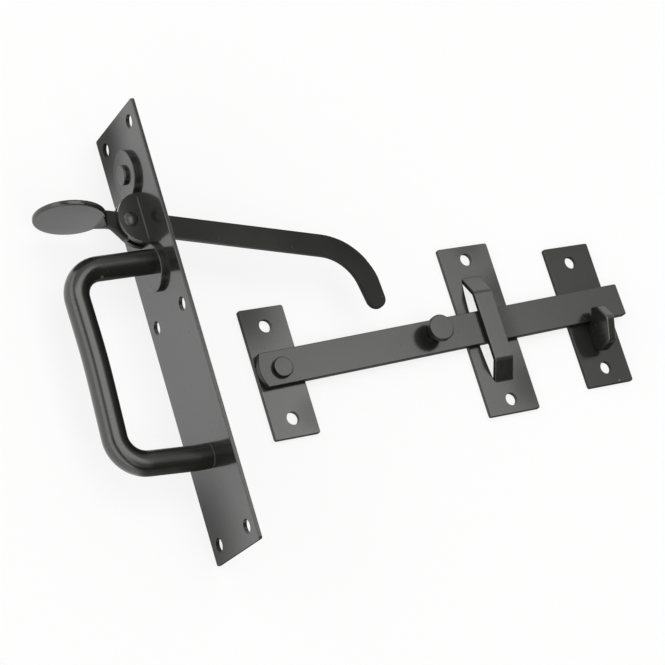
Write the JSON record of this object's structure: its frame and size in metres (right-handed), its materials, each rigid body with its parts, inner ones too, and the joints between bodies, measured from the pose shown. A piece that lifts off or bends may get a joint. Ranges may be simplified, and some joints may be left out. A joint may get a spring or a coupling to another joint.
{
  "type": "suffolk latch",
  "caption": "Black suffolk latch set: backplate with pull handle and pivoting thumb lever, and a pivoting latch bar with knob, staple plate and hook catch.",
  "frame": {"origin": "on the latch bar's pivot axis, at the back face of the pivot plate, which lies on the table", "axes": "+X along the latch bar from its pivot to the catch, +Y up the plates as they are fixed on a door, +Z out of the faces of the bar half's plates, off the table"},
  "size_m": [0.3345, 0.226, 0.0516],
  "materials": {
    "plate_paint": "smooth gloss black paint",
    "bar_paint": "smooth gloss black paint",
    "handle_paint": "gloss black paint",
    "lever_paint": "satin black paint"
  },
  "bodies": {
    "fixed_set": {"backplate": "plate_paint", "lever_bracket": "plate_paint", "bracket_rivet": "bar_paint", "lever_rivet": "bar_paint", "pull_handle": "handle_paint", "pivot_plate": "plate_paint", "bar_rivet": "bar_paint", "staple_plate": "plate_paint", "catch_plate": "plate_paint"},
    "lever": {"thumb_lever": "lever_paint"},
    "bar": {"latch_bar": "bar_paint", "bar_knob": "bar_paint"}
  },
  "joints": [
    {"name": "bar_pivot", "type": "hinge", "parent": "fixed_set", "child": "bar", "pos_m": [0, 0, 0.0047], "axis": [0, 0, 1], "range_deg": [0, 3.5]},
    {"name": "lever_pivot", "type": "hinge", "parent": "fixed_set", "child": "lever", "pos_m": [-0.0694, 0.0807, 0.0258], "axis": [0, 0, 1], "range_deg": [0, 20]}
  ]
}
